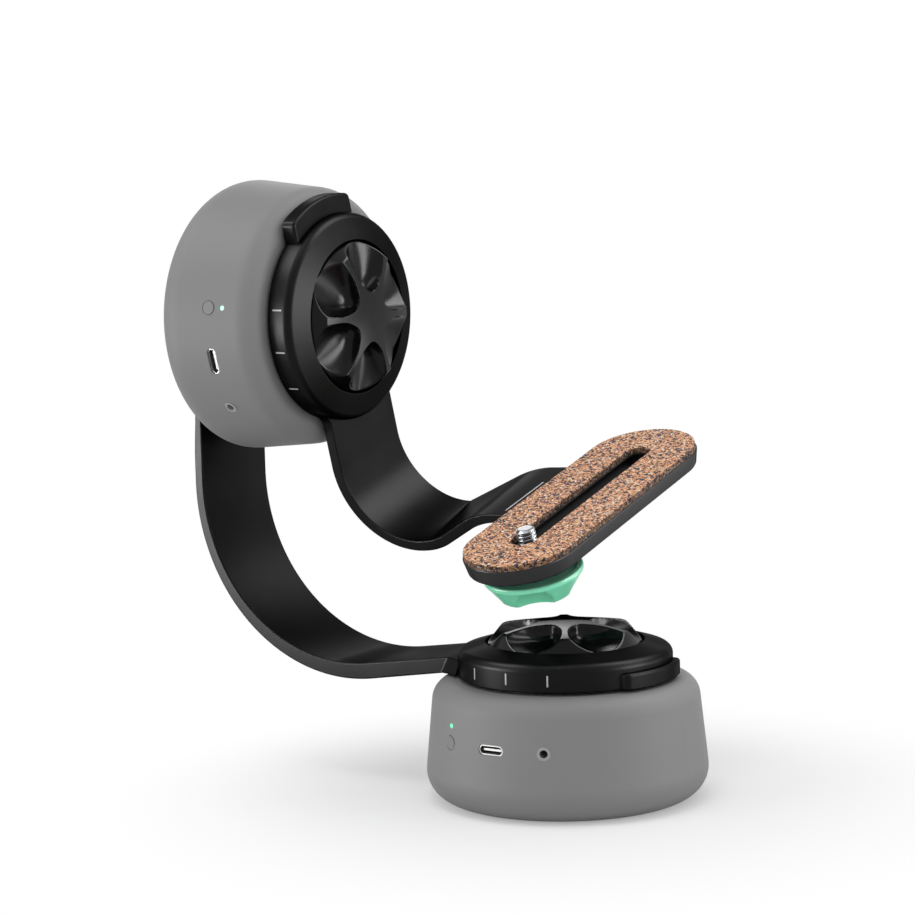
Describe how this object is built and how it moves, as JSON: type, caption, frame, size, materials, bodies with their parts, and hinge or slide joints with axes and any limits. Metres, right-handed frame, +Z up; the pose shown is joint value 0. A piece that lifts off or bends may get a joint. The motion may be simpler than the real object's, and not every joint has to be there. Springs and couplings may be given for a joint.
{
  "type": "pan tilt bracket",
  "caption": "Pan and tilt camera bracket: round motorised heads turn curved arms that carry a slotted, cork-topped camera plate with a sliding camera screw and clamp knobs.",
  "frame": {"origin": "on the pan axis, at the mouth of the tripod socket in the base's underside", "axes": "+Z up along the pan axis, +X along the tilt axis from the tilt head towards the camera plate, -Y towards the ports"},
  "size_m": [0.1901, 0.1154, 0.201],
  "materials": {
    "head_shell": "fine-grained moulded plastic",
    "dark_plastic": "moulded plastic",
    "rubber": "moulded rubber",
    "brass": "turned brass",
    "steel": "zinc-plated steel",
    "gear_plastic": "moulded acetal",
    "cell_wrap": "shrink-wrapped cell",
    "board": "glass-fibre board",
    "port_metal": "stamped steel",
    "light": "clear green light pipe",
    "turned_alloy": "turned aluminium",
    "black_alloy": "satin black coated aluminium",
    "knob_plastic": "semi-gloss moulded plastic",
    "white_mark": "filled white paint",
    "plate_alloy": "satin dark coated aluminium",
    "cork": "cork and rubber granulate",
    "screw_chrome": "polished plated steel",
    "mint_plastic": "satin moulded plastic"
  },
  "bodies": {
    "pan_head": {"pan_housing": "head_shell", "pan_base_plate": "dark_plastic", "pan_base_pad": "rubber", "pan_tripod_insert": "brass", "pan_base_screws": "steel", "pan_motor": "steel", "pan_bearing": "steel", "pan_battery": "cell_wrap", "pan_circuit_board": "board", "pan_usb_port": "port_metal", "pan_status_light": "light", "pan_trigger_jack": "dark_plastic"},
    "pan_pinion_body": {"pan_pinion": "brass"},
    "pan_button": {"pan_power_button": "head_shell"},
    "pan_frame": {"pan_turntable": "turned_alloy", "pan_output_gear": "gear_plastic", "pan_hub_pad": "rubber", "lower_arm": "black_alloy", "pan_index_ticks": "white_mark", "pan_knob_washer": "steel", "tilt_mount_pad": "rubber", "tilt_mount_screw": "steel", "tilt_mount_washer": "steel", "tilt_housing": "head_shell", "tilt_base_plate": "dark_plastic", "tilt_base_pad": "rubber", "tilt_tripod_insert": "brass", "tilt_base_screws": "steel", "tilt_motor": "steel", "tilt_bearing": "steel", "tilt_battery": "cell_wrap", "tilt_circuit_board": "board", "tilt_usb_port": "port_metal", "tilt_status_light": "light", "tilt_trigger_jack": "dark_plastic"},
    "pan_clamp": {"pan_knob": "knob_plastic", "pan_knob_stud": "steel"},
    "tilt_pinion_body": {"tilt_pinion": "brass"},
    "tilt_button": {"tilt_power_button": "head_shell"},
    "tilt_frame": {"tilt_turntable": "turned_alloy", "tilt_output_gear": "gear_plastic", "tilt_hub_pad": "rubber", "camera_arm": "black_alloy", "tilt_index_ticks": "white_mark", "tilt_knob_washer": "steel", "camera_plate": "plate_alloy", "cork_pad": "cork", "plate_screws": "steel"},
    "tilt_clamp": {"tilt_knob": "knob_plastic", "tilt_knob_stud": "steel"},
    "screw_slider": {"screw_bush": "dark_plastic"},
    "screw_and_knob": {"camera_screw": "screw_chrome", "camera_knob": "mint_plastic"}
  },
  "joints": [
    {"name": "pan_turn", "type": "hinge", "parent": "pan_head", "child": "pan_frame", "pos_m": [0, 0, 0.0405], "axis": [0, 0, 1], "continuous": true},
    {"name": "pan_pinion_spin", "type": "hinge", "parent": "pan_head", "child": "pan_pinion_body", "pos_m": [0.02298, 0.01928, 0.023], "axis": [0, 0, 1], "continuous": true},
    {"name": "pan_button_press", "type": "slide", "parent": "pan_head", "child": "pan_button", "axis": [0.3955, 0.9184, 0], "range_m": [0, 0.0006], "stiffness_N_per_m": 800},
    {"name": "pan_clamp_turn", "type": "hinge", "parent": "pan_frame", "child": "pan_clamp", "pos_m": [0, 0, 0.05], "axis": [0, 0, 1], "continuous": true},
    {"name": "tilt_turn", "type": "hinge", "parent": "pan_frame", "child": "tilt_frame", "pos_m": [-0.091, 0, 0.155], "axis": [1, 0, 0], "continuous": true},
    {"name": "tilt_pinion_spin", "type": "hinge", "parent": "pan_frame", "child": "tilt_pinion_body", "pos_m": [-0.1085, 0.02487, 0.13822], "axis": [1, 0, 0], "continuous": true},
    {"name": "tilt_button_press", "type": "slide", "parent": "pan_frame", "child": "tilt_button", "axis": [0, 0.9919, -0.1271], "range_m": [0, 0.0006], "stiffness_N_per_m": 800},
    {"name": "tilt_clamp_turn", "type": "hinge", "parent": "tilt_frame", "child": "tilt_clamp", "pos_m": [-0.081, 0, 0.155], "axis": [1, 0, 0], "continuous": true},
    {"name": "screw_slide", "type": "slide", "parent": "tilt_frame", "child": "screw_slider", "axis": [0, 0.9613, 0.2756], "range_m": [-0.00175, 0.07075]},
    {"name": "screw_turn", "type": "hinge", "parent": "screw_slider", "child": "screw_and_knob", "pos_m": [0, -0.01884, 0.08031], "axis": [0, -0.2756, 0.9613], "continuous": true}
  ],
  "couplings": [
    {"joint": "pan_pinion_spin", "follows": "pan_turn", "ratio": -4},
    {"joint": "tilt_pinion_spin", "follows": "tilt_turn", "ratio": -4}
  ]
}
